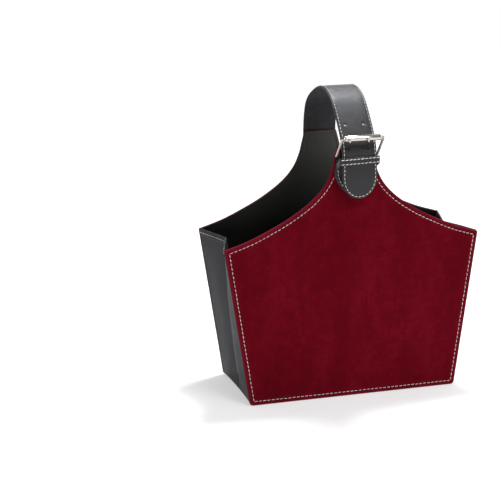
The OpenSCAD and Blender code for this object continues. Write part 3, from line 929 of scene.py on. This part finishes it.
def strap_half(end):
    """end is 1 for the front half, with the holes and the tip, -1 for the rear half."""
    part = "front" if end > 0 else "rear"
    H = STRAP_HALF
    k = 26
    if end > 0:
        uc = u_of(-89.4, TIP_Z)
        arc = np.array([[uc + TIP_LONG * math.cos(a), H * math.sin(a)] for a in np.linspace(-math.pi / 2, math.pi / 2, 2 * k)])
        edges = np.vstack([[[U_TOP, -H]], resample(np.array([[U_TOP, -H], [uc, -H]]), 3.0)[1:-1], arc, resample(np.array([[uc, H], [U_TOP, H]]), 3.0)[1:-1], [[U_TOP, H]]])
        cutline = np.array([[U_TOP, v] for v in np.linspace(H, -H, 16)[1:-1]])
        long_edge = np.vstack([[[U_TOP - 5, -H]], edges, [[U_TOP - 5, H]]])
    else:
        uc = u_of(72, TIP_Z)
        arc = np.array([[uc - TIP_LONG * math.cos(a), -H * math.sin(a)] for a in np.linspace(-math.pi / 2, math.pi / 2, 2 * k)])
        edges = np.vstack([[[U_TOP, H]], resample(np.array([[U_TOP, H], [uc, H]]), 3.0)[1:-1], arc, resample(np.array([[uc, -H], [U_TOP, -H]]), 3.0)[1:-1], [[U_TOP, -H]]])
        cutline = np.array([[U_TOP, v] for v in np.linspace(-H, H, 16)[1:-1]])
        long_edge = np.vstack([[[U_TOP + 5, H]], edges, [[U_TOP + 5, -H]]])
    loop = np.vstack([edges, cutline])
    holes = []
    hole_lines = []
    if end > 0:
        for uu, slot, hr in ((U_FREE, 0.0, 1.6), (U_USED, 0.5, 1.5)):
            for v in HOLE_X:
                a = np.linspace(0, 2 * math.pi, 22, endpoint=False)
                c = np.stack([uu + hr * np.cos(a) + np.where(np.cos(a) > 0, slot, -0.4 * slot), v + hr * np.sin(a)], 1)
                holes.append(c[::-1].copy())
                hole_lines.append(closed(c))
    # two rows of thread, joined round the end
    inset = 2.4
    path = []
    hh = H - inset
    hl = TIP_LONG - inset - 0.2
    if end > 0:
        path = np.vstack([resample(np.array([[U_TOP, -hh], [uc, -hh]]), 2), [[uc + hl * math.cos(a), hh * math.sin(a)] for a in np.linspace(-math.pi / 2, math.pi / 2, 40)], resample(np.array([[uc, hh], [U_TOP, hh]]), 2)])
    else:
        path = np.vstack([resample(np.array([[U_TOP, hh], [uc, hh]]), 2), [[uc - hl * math.cos(a), -hh * math.sin(a)] for a in np.linspace(-math.pi / 2, math.pi / 2, 40)], resample(np.array([[uc, -hh], [U_TOP, -hh]]), 2)])
    keepd = np.concatenate([[True], np.linalg.norm(np.diff(path, axis=0), axis=1) > 1e-6])
    path = path[keepd]

    def f(s):
        q = at_len(path, np.array([s]))[0]
        q2 = at_len(path, np.array([s + 0.4]))[0]
        q0 = at_len(path, np.array([s - 0.4]))[0]
        p = strap_surf(q[:1], q[1:], np.array([-0.16]))[0]
        t = strap_surf(q2[:1], q2[1:], np.array([-0.16]))[0] - strap_surf(q0[:1], q0[1:], np.array([-0.16]))[0]
        n = strap_surf(q[:1], q[1:], np.array([1.0]))[0] - strap_surf(q[:1], q[1:], np.array([0.0]))[0]
        return p, t, n
    st, ends = stitches(f"strap_{part}_thread", [(f, arclen(path)[-1], None)], THREAD, r=0.36, pitch=5.0, length=3.1, slant=5)
    kd = KDTree(len(ends))
    for i, e in enumerate(ends):
        kd.insert(e, i)
    kd.balance()
    sw = waves(61, 0.10, 30)
    rowl = [path]

    def top(u, v, d):
        dd = seg_dist(np.stack([u, v], 1), [long_edge])
        dh = seg_dist(np.stack([u, v], 1), hole_lines) if hole_lines else np.full_like(u, 99.0)
        dr = seg_dist(np.stack([u, v], 1), rowl)
        h = 0.30 * np.exp(-((dd - 1.2) / 0.7) ** 2) * 0.6 + 0.22 * np.clip((dd - 3.2) / 6, 0, 1) - 0.24
        h = h - 0.24 * np.exp(-(dr / 0.65) ** 2) + sw(u, v) * 0.6
        h = h - 0.18 * np.exp(-dh / 0.9)
        P = strap_surf(u, v, h)
        for i in np.where(dr < 1.6)[0]:
            _, _, r = kd.find(P[i])
            h[i] -= 0.26 * math.exp(-(r / 0.7) ** 2)
        R = 0.75
        h = h - np.where(dd < R, R - np.sqrt(np.maximum(0, R * R - (R - np.minimum(dd, R)) ** 2)), 0)
        return strap_surf(u, v, h)

    def mid(u, v, d):
        return strap_surf(u, v, np.full_like(u, -1.5))

    def low(u, v, d):
        dd = seg_dist(np.stack([u, v], 1), [long_edge])
        R = 0.6
        h = -2.95 + np.where(dd < R, R - np.sqrt(np.maximum(0, R * R - (R - np.minimum(dd, R)) ** 2)), 0)
        return strap_surf(u, v, h)

    lines = [long_edge] + hole_lines
    near_cut = np.array([[U_TOP + end * 0.06, v] for v in np.linspace(-H + 1, H - 1, 18)])
    rings = [(0.12, 3.0), (0.35, 3.0), (0.75, 3.0), (1.4, 2.8), (1.75, 1.7), (2.1, 1.3), (2.75, 1.3), (3.2, 1.7), (4.4, 2.6)]
    outer = sheet_mesh(f"strap_outer_ply_{part}", [loop] + holes, lines, rings, 3.2, top, mid, STRAP, mask=near_cut)
    inner = sheet_mesh(f"strap_lining_ply_{part}", [loop] + holes, lines, [(0.12, 3.0), (0.35, 3.0), (0.7, 3.0), (1.6, 3.0), (3.2, 3.2)], 3.6, mid, low, UNDER, mask=near_cut)
    for o in (outer, inner):
        y0, z0, *_ = [float(x[0]) for x in strap_at(np.array([U_TOP]))]
        sharp_where(o, lambda c: np.abs((c[:, 1] - y0) * float(strap_at(np.array([U_TOP]))[4][0]) + (c[:, 2] - z0) * float(strap_at(np.array([U_TOP]))[5][0])) < 0.03)
    y0, z0 = (float(x[0]) for x in strap_at(np.array([U_TOP]))[:2])
    for o, nodes, slot in ((outer, "handle_strap", "strap_leather"), (inner, "strap_lining", "strap_underside"), (st, "strap_stitching", "thread")):
        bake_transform(o)
        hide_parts(nodes)


strap_half(1)
strap_half(-1)


# ------------------------------------------------------------------ chape: the tab folded round the buckle's bar
def chape_path():
    b = BAR
    a = [[-FACE - 0.02, 265.9], [-FACE - 0.02, 285], [-FACE - 0.02, 300], [-69.2, 306], [-70.6, 311]]
    arc = [[b[0] + 3.62 * math.cos(t), b[1] + 3.62 * math.sin(t)] for t in np.linspace(math.radians(-8), math.radians(188), 15)]
    c = [[-79.4, 310], [-77.2, 303], [-74.9, 297], [-73.2, 291], [-72.5, 285], [-72.42, 278], [-72.4, 265.9]]
    p = catmull(np.array(a + arc + c), 12)
    return resample(p, 0.5)


CH = chape_path()
CH_S = arclen(CH)
CH_L = CH_S[-1]
_ct = np.gradient(CH, axis=0)
_ct /= np.linalg.norm(_ct, axis=1)[:, None]
for _c in range(2):
    pad = np.concatenate([np.repeat(_ct[:1, _c], 3), _ct[:, _c], np.repeat(_ct[-1:, _c], 3)])
    _ct[:, _c] = np.convolve(pad, np.ones(7) / 7, "valid")


def chape_surf(u, v, h):
    y, z = np.interp(u, CH_S, CH[:, 0]), np.interp(u, CH_S, CH[:, 1])
    ty, tz = np.interp(u, CH_S, _ct[:, 0]), np.interp(u, CH_S, _ct[:, 1])
    n = np.hypot(ty, tz)
    # the path climbs the back leg and comes down the front one, so its right side is outwards
    return np.stack([v, y + tz / n * h, z - ty / n * h], -1)


def chape():
    um = CH_S[int(np.argmax(CH[:, 1]))]
    it = int(np.argmax(CH[:, 1]))

    def u_back(z):
        return np.interp(z, CH[:it, 1], CH_S[:it])

    def u_front(z):
        return np.interp(-z, -CH[it:, 1], CH_S[it:])
    e = np.array([q for q in CHAPE_EDGE if q[1] < 312.5 and q[0] > 0.05])      # falls from the fold to the end
    right = [[u_front(q[1]), q[0]] for q in e]
    left = [[u_front(q[1]), -q[0]] for q in e[::-1]]
    bleft = [[u_back(q[1]), -q[0]] for q in e]
    bright = [[u_back(q[1]), q[0]] for q in e[::-1]]
    ring = np.vstack([bright, resample(np.array([bright[-1], right[0]]), 3)[1:-1], right, [[u_front(266.4), 0]], left,
                      resample(np.array([left[-1], bleft[0]]), 3)[1:-1], bleft, [[u_back(266.4), 0]]])
    ring = resample(closed(ring), 2.4)[:-1]
    if (ring[:, 0] * np.roll(ring[:, 1], -1) - np.roll(ring[:, 0], -1) * ring[:, 1]).sum() < 0:
        ring = ring[::-1].copy()
    loop = ring
    slots, slines = [], []
    for v in (-10.0, 14.0):
        c = chain_loop([np.array([[um - 7.5, v - 2.8], [um + 7.5, v - 2.8]]), np.array([[um + 7.5, v - 2.8], [um + 7.5, v + 2.8]]),
                        np.array([[um + 7.5, v + 2.8], [um - 7.5, v + 2.8]]), np.array([[um - 7.5, v + 2.8], [um - 7.5, v - 2.8]])], [2.2] * 4, 1.2)
        slots.append(c[::-1].copy())
        slines.append(closed(c))
    lines = [closed(loop)] + slines
    row = catmull([[22.6, 309.5], [23.7, 304], [23.8, 296], [22.6, 290.5], [20.6, 285.5], [17.4, 280.2], [12.6, 275], [7, 271.2], [0, 269.6]], 8)
    row = np.vstack([row * [-1, 1], row[::-1][1:]])
    path = resample(np.array([[u_front(q[1]), q[0]] for q in row]), 1.0)

    def f(s):
        q = at_len(path, np.array([s]))[0]
        q2, q0 = at_len(path, np.array([s + 0.4]))[0], at_len(path, np.array([s - 0.4]))[0]
        p = chape_surf(q[:1], q[1:], np.array([-0.2]))[0]
        t = chape_surf(q2[:1], q2[1:], np.array([-0.2]))[0] - chape_surf(q0[:1], q0[1:], np.array([-0.2]))[0]
        n = chape_surf(q[:1], q[1:], np.array([1.0]))[0] - chape_surf(q[:1], q[1:], np.array([0.0]))[0]
        return p, t, n
    st, ends = stitches("chape_thread", [(f, arclen(path)[-1], None)], THREAD, r=0.38, pitch=5.0, length=3.5, slant=4, lift=0.36)

    def top(u, v, d):
        q = np.stack([u, v], 1)
        dr = seg_dist(q, [path])
        h = -0.12 - 0.2 * np.exp(-(dr / 0.65) ** 2)
        R = 0.6
        h = h - np.where(d < R, R - np.sqrt(np.maximum(0, R * R - (R - np.minimum(d, R)) ** 2)), 0)
        return chape_surf(u, v, h)

    def bottom(u, v, d):
        R = 0.5
        return chape_surf(u, v, -1.72 + np.where(d < R, R - np.sqrt(np.maximum(0, R * R - (R - np.minimum(d, R)) ** 2)), 0))

    ob = sheet_mesh("buckle_chape", [loop] + slots, lines, [(0.12, 2.6), (0.35, 2.6), (0.65, 2.6), (1.3, 2.6), (1.95, 2.0), (2.4, 1.5), (2.85, 1.5), (3.4, 2.0)], 2.0, top, bottom, STRAP)
    for o, nodes, slot in ((ob, "chape", "strap_leather"), (st, "chape_stitching", "thread")):
        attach(o, "front_panel")
        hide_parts(nodes)


chape()


# ------------------------------------------------------------------ keeper
def keeper():
    half = [[-26.0, -74.9], [-26.05, -79], [-26.45, -83], [-26.7, -86.4], [-26.2, -88.9], [-24.2, -90.35], [-20, -90.95], [-11, -91.2]]
    pts = half + [[0, -91.25]] + [[-x, y] for x, y in half[::-1]]
    p = resample(catmull(np.array(pts), 14), 0.5)
    S = arclen(p)
    t = np.gradient(p, axis=0)
    t /= np.linalg.norm(t, axis=1)[:, None]

    def surf(u, v, h):
        x, y = np.interp(u, S, p[:, 0]), np.interp(u, S, p[:, 1])
        tx, ty = np.interp(u, S, t[:, 0]), np.interp(u, S, t[:, 1])
        n = np.hypot(tx, ty)
        nx, ny = ty / n, -tx / n
        drop = 8.0 * np.clip((y + 88.5) / 13.5, 0, 1)
        return np.stack([x + nx * h, y + ny * h, 312 + v - drop + 0.65 * x / 26.0], -1)

    L = S[-1]
    H = 4.8
    loop = chain_loop([np.array([[0, -H], [L, -H]]), np.array([[L, -H], [L, H]]), np.array([[L, H], [0, H]]), np.array([[0, H], [0, -H]])], [0.8] * 4, 2.2)
    rows = []
    for v in (-2.75, 2.75):
        def f(s, v=v):
            q = np.array([s + 15.5])
            a = surf(q, np.array([v]), np.array([-0.16]))[0]
            b = surf(q + 0.4, np.array([v]), np.array([-0.16]))[0]
            n = surf(q, np.array([v]), np.array([1.0]))[0] - surf(q, np.array([v]), np.array([0.0]))[0]
            return a, b - a, n
        rows.append((f, L - 31.0, None))
    st, ends = stitches("keeper_thread", rows, THREAD, r=0.42, pitch=5.0, length=3.7, slant=9, lift=0.36)

    def top(u, v, d):
        h = -0.1 - 0.2 * np.exp(-((np.abs(v) - 2.75) / 0.55) ** 2) + 0.16 * np.exp(-(v / 1.3) ** 2)
        R = 0.55
        h = h - np.where(d < R, R - np.sqrt(np.maximum(0, R * R - (R - np.minimum(d, R)) ** 2)), 0)
        return surf(u, v, h)

    def bottom(u, v, d):
        R = 0.45
        return surf(u, v, -1.45 + np.where(d < R, R - np.sqrt(np.maximum(0, R * R - (R - np.minimum(d, R)) ** 2)), 0))

    ob = sheet_mesh("strap_keeper", [loop], [closed(loop)], [(0.12, 1.8), (0.32, 1.8), (0.6, 1.8), (1.2, 1.8), (1.8, 1.6), (2.25, 1.6), (2.7, 1.6), (3.2, 1.8)], 1.5, top, bottom, STRAP)
    for o, nodes, slot in ((ob, "keeper", "strap_leather"), (st, "keeper_stitching", "thread")):
        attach(o, "front_panel")
        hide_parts(nodes)


keeper()


# ------------------------------------------------------------------ buckle
def in_plane(x, l, n):
    """A point of the buckle's plane: x across, l from the base bar to the end bar, n out of the plane."""
    d = (ROLL - BAR) / np.linalg.norm(ROLL - BAR)
    nn = np.array([-d[1], d[0]])
    q = BAR + d * l + nn * n
    return np.array([x, q[0], q[1]])


def buckle():
    LEG = float(np.linalg.norm(ROLL - BAR))
    hx = 26.8
    # frame: one closed wire with tight square corners, flattened a little across the legs
    c = 2.6
    loop = []
    corners = [(-hx, 0), (hx, 0), (hx, LEG), (-hx, LEG)]
    for i in range(4):
        p0, p1, p2 = np.array(corners[i - 1], float), np.array(corners[i], float), np.array(corners[(i + 1) % 4], float)
        a, b = (p0 - p1) / np.linalg.norm(p0 - p1), (p2 - p1) / np.linalg.norm(p2 - p1)
        for t in np.linspace(0, 1, 9):
            loop.append((1 - t) ** 2 * (p1 + a * c) + 2 * t * (1 - t) * p1 + t * t * (p1 + b * c))
        far = np.linalg.norm(p2 - p1) - 2 * c
        for s in np.linspace(0, 1, 10)[1:-1]:
            loop.append(p1 + b * (c + far * s))
    loop = np.array(loop)
    P = np.array([in_plane(x, l, 0) for x, l in loop])
    nrm = in_plane(0, 0, 1) - in_plane(0, 0, 0)
    n = len(P)
    T = np.roll(P, -1, 0) - np.roll(P, 1, 0)
    T /= np.linalg.norm(T, axis=1)[:, None]
    sides = 20
    V, F = [], []
    for i in range(n):
        b = np.cross(T[i], nrm)
        end_bar = loop[i][1] > LEG - 0.5 and abs(loop[i][0]) < 24.2
        base_bar = loop[i][1] < 0.5 and abs(loop[i][0]) < 24.2
        ra = 1.62 if (end_bar or base_bar) else 1.38  # in the plane
        rb = 1.66
        for k in range(sides):
            t = 2 * math.pi * k / sides
            e = 2.0 if (end_bar or base_bar) else 2.9   # legs are a rounded square section
            cx, sx = math.cos(t), math.sin(t)
            q = (abs(cx) ** e + abs(sx) ** e) ** (-1 / e)
            V.append(P[i] + b * ra * cx * q + nrm * rb * sx * q)
    for i in range(n):
        j = (i + 1) % n
        for k in range(sides):
            l = (k + 1) % sides
            F.append((i * sides + k, i * sides + l, j * sides + l, j * sides + k))
    fr = make_mesh("buckle_wire_frame", np.array(V), F, METAL)
    fix_normals(fr)
    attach(fr, "buckle_frame")
    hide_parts("buckle_frame")

    # roller: a rolled tube with eased ends
    half = 24.0
    prof = [(-half + 0.05, 1.78), (-half, 2.1), (-half, 3.1), (-half + 0.18, 3.56), (-half + 0.6, 3.8), (-half + 1.6, 3.8), (-half + 1.9, 3.74), (-half + 2.2, 3.8)]
    prof = prof + [(0, 3.8)] + [(-x, r) for x, r in prof[::-1]] + [(0, 1.78)]
    seg = 56
    V, F = [], []
    for x, r in prof:
        for k in range(seg):
            a = 2 * math.pi * k / seg
            seam = 0.10 * math.exp(-((a - 4.4) / 0.05) ** 2) if r > 2.5 else 0
            V.append([x, ROLL[0] + (r - seam) * math.cos(a), ROLL[1] + (r - seam) * math.sin(a)])
    m = len(prof)
    for i in range(m):
        j = (i + 1) % m
        for k in range(seg):
            l = (k + 1) % seg
            F.append((i * seg + k, i * seg + l, j * seg + l, j * seg + k))
    ro = make_mesh("buckle_roller_tube", np.array(V), F, METAL)
    fix_normals(ro)
    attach(ro, "buckle_roller")
    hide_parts("buckle_roller")

    # prongs: an eye wrapped round the base bar, then a tapering shank to the roller
    for shift, name in ((0.0, "left"), (24.0, "right")):
        x = -10.0 + shift
        r_eye = 1.78 + 1.25
        start = math.atan2(325.2 - BAR[1], -87.0 - BAR[0])
        pts = []
        for t in np.linspace(start + math.radians(-268), start - math.radians(78), 22):
            pts.append([x, BAR[0] + r_eye * math.cos(t), BAR[1] + r_eye * math.sin(t)])
        way = [pts[-1]] + [[a + shift, b, c] for a, b, c in (
            (-11.5, -81.3, 323.0), (-13.0, -86.2, 327.9), (-15.8, -94.7, 333.1), (-18.5, -103.8, 338.2), (-19.6, -106.0, 340.9), (-20.1, -105.8, 343.1))]
        body = catmull(np.array(way), 12)
        for q in body[1:]:
            pts.append(list(q))
        pts = resample(np.array(pts), 0.55)
        m = len(pts)
        s = np.linspace(0, 1, m)
        rad = np.interp(s, [0, 0.03, 0.1, 0.4, 0.6, 0.9, 0.955, 0.985, 1.0], [0.4, 1.1, 1.22, 1.32, 1.4, 1.38, 1.25, 0.9, 0.3])
        V, F = tube(pts, rad, sides=18, up=[1.0, 0, 0])
        pr = make_mesh(f"{name}_buckle_prong", V, F, METAL)
        fix_normals(pr)
        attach(pr, f"{name}_prong")
        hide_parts(f"{name}_prong")


buckle()

# ------------------------------------------------------------------ what stays of the CAD, hidden inside
for n in ("front_board", "back_board", "base_board"):
    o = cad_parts[n]
    o.data.materials.clear()
    o.data.materials.append(BOARD)

# ------------------------------------------------------------------ floor, light, camera
fm, fnt, fb = new_mat("pale_floor")
fco = node(fnt, "ShaderNodeTexCoord").outputs["Object"]
fn = noise(fnt, fco, 3.0, 2, 0.5)
fr_ = ramp(fnt, fn.outputs["Fac"], [(0.3, (0.62, 0.62, 0.62)), (0.7, (0.63, 0.63, 0.63))])
fnt.links.new(fr_.outputs["Color"], fb.inputs["Base Color"])
fb.inputs["Roughness"].default_value = 0.75
fb.inputs["Specular IOR Level"].default_value = 0.15
# painted light: the floor glows, and glows less within about two metres of the bag, so the shadow still shows near it
# while the far floor stays white
fb.inputs["Emission Color"].default_value = (1, 1, 1, 1)
_len = node(fnt, "ShaderNodeVectorMath", operation="LENGTH")
fnt.links.new(fco, _len.inputs[0])
_em = ramp(fnt, math_node(fnt, "MULTIPLY", _len.outputs["Value"], 0.25), [(0.08, (0.50, 0.50, 0.50)), (0.55, (0.72, 0.72, 0.72))])
fnt.links.new(_em.outputs["Color"], fb.inputs["Emission Strength"])
bpy.ops.mesh.primitive_plane_add(size=40, location=(0, 0, -0.0002))
floor = bpy.context.object
floor.name = "studio_floor"
floor.data.materials.append(fm)

world = bpy.data.worlds.new("studio")
bpy.context.scene.world = world
world.use_nodes = True
wnt = world.node_tree
bg = wnt.nodes["Background"]
wco = node(wnt, "ShaderNodeTexCoord").outputs["Generated"]
sep = node(wnt, "ShaderNodeSeparateXYZ")
wnt.links.new(wco, sep.inputs[0])
# a white room, dark on the near side but for a strip light, so that the metal has something to show
ymix = ramp(wnt, math_node(wnt, "ADD", math_node(wnt, "MULTIPLY", sep.outputs[1], 0.5), 0.5), [(0.30, (0, 0, 0)), (0.62, (1, 1, 1))])
near = ramp(wnt, sep.outputs[2], [(0.10, (0.045, 0.045, 0.048)), (0.17, (1.05, 1.05, 1.08)), (0.31, (1.05, 1.05, 1.08)), (0.38, (0.035, 0.035, 0.037)), (0.55, (0.035, 0.035, 0.037)), (0.70, (0.40, 0.40, 0.42)), (1.0, (0.45, 0.45, 0.47))])
far = ramp(wnt, sep.outputs[2], [(0.0, (1.0, 1.0, 1.0)), (0.5, (1.05, 1.05, 1.06)), (0.85, (0.45, 0.45, 0.47))])
room = mix_rgb(wnt, ymix.outputs["Color"], near.outputs["Color"], far.outputs["Color"])
flag = ramp(wnt, math_node(wnt, "ADD", math_node(wnt, "MULTIPLY", sep.outputs[0], 0.5), 0.5), [(0.22, (0.08, 0.08, 0.085)), (0.47, (1, 1, 1))])
wout = mix_rgb(wnt, 1.0, room, flag.outputs["Color"], "MULTIPLY")
wnt.links.new(wout, bg.inputs["Color"])
bg.inputs["Strength"].default_value = 1.0
bpy.context.scene.view_settings.view_transform = "Standard"


def area(name, loc, target, size, power, size_y=None, color=(1, 1, 1)):
    li = bpy.data.lights.new(name, "AREA")
    li.energy = power
    li.color = color
    li.size = size
    if size_y:
        li.shape = "RECTANGLE"
        li.size_y = size_y
    ob = bpy.data.objects.new(name, li)
    bpy.context.scene.collection.objects.link(ob)
    ob.location = loc
    ob.data.color = color
    ob.rotation_euler = (Vector(target) - Vector(loc)).to_track_quat("-Z", "Y").to_euler()
    return ob


area("key_softbox", (0.5, -1.8, 1.9), (0, 0, 0.18), 0.9, 26)
area("side_softbox", (-1.9, 1.1, 0.7), (0, 0, 0.15), 0.16, 4.5, size_y=1.2)
area("top_softbox", (0.24, 0.32, 1.7), (0, -0.03, 0.38), 0.28, 29, color=(0.93, 0.95, 1.0))

AZ, EL, DIST = math.radians(-15.521), math.radians(13.591), 1.832225
TARGET = np.array([-0.11829, 0.0, 0.187868])
back = np.array([math.sin(AZ) * math.cos(EL), -math.cos(AZ) * math.cos(EL), math.sin(EL)])
C = TARGET + back * DIST
fw = -back
right = np.cross(fw, [0, 0, 1.0])
right /= np.linalg.norm(right)
up = np.cross(right, fw)
roll = math.radians(-0.889)
r2 = right * math.cos(roll) + up * math.sin(roll)
u2 = -right * math.sin(roll) + up * math.cos(roll)
cam = bpy.data.cameras.new("camera")
cam.lens = 101.985
cam.sensor_width = 36.0
cam.clip_end = 60
co_ = bpy.data.objects.new("camera", cam)
bpy.context.scene.collection.objects.link(co_)
co_.matrix_world = Matrix((
    (r2[0], u2[0], back[0], C[0]),
    (r2[1], u2[1], back[1], C[1]),
    (r2[2], u2[2], back[2], C[2]),
    (0, 0, 0, 1)))
bpy.context.scene.camera = co_
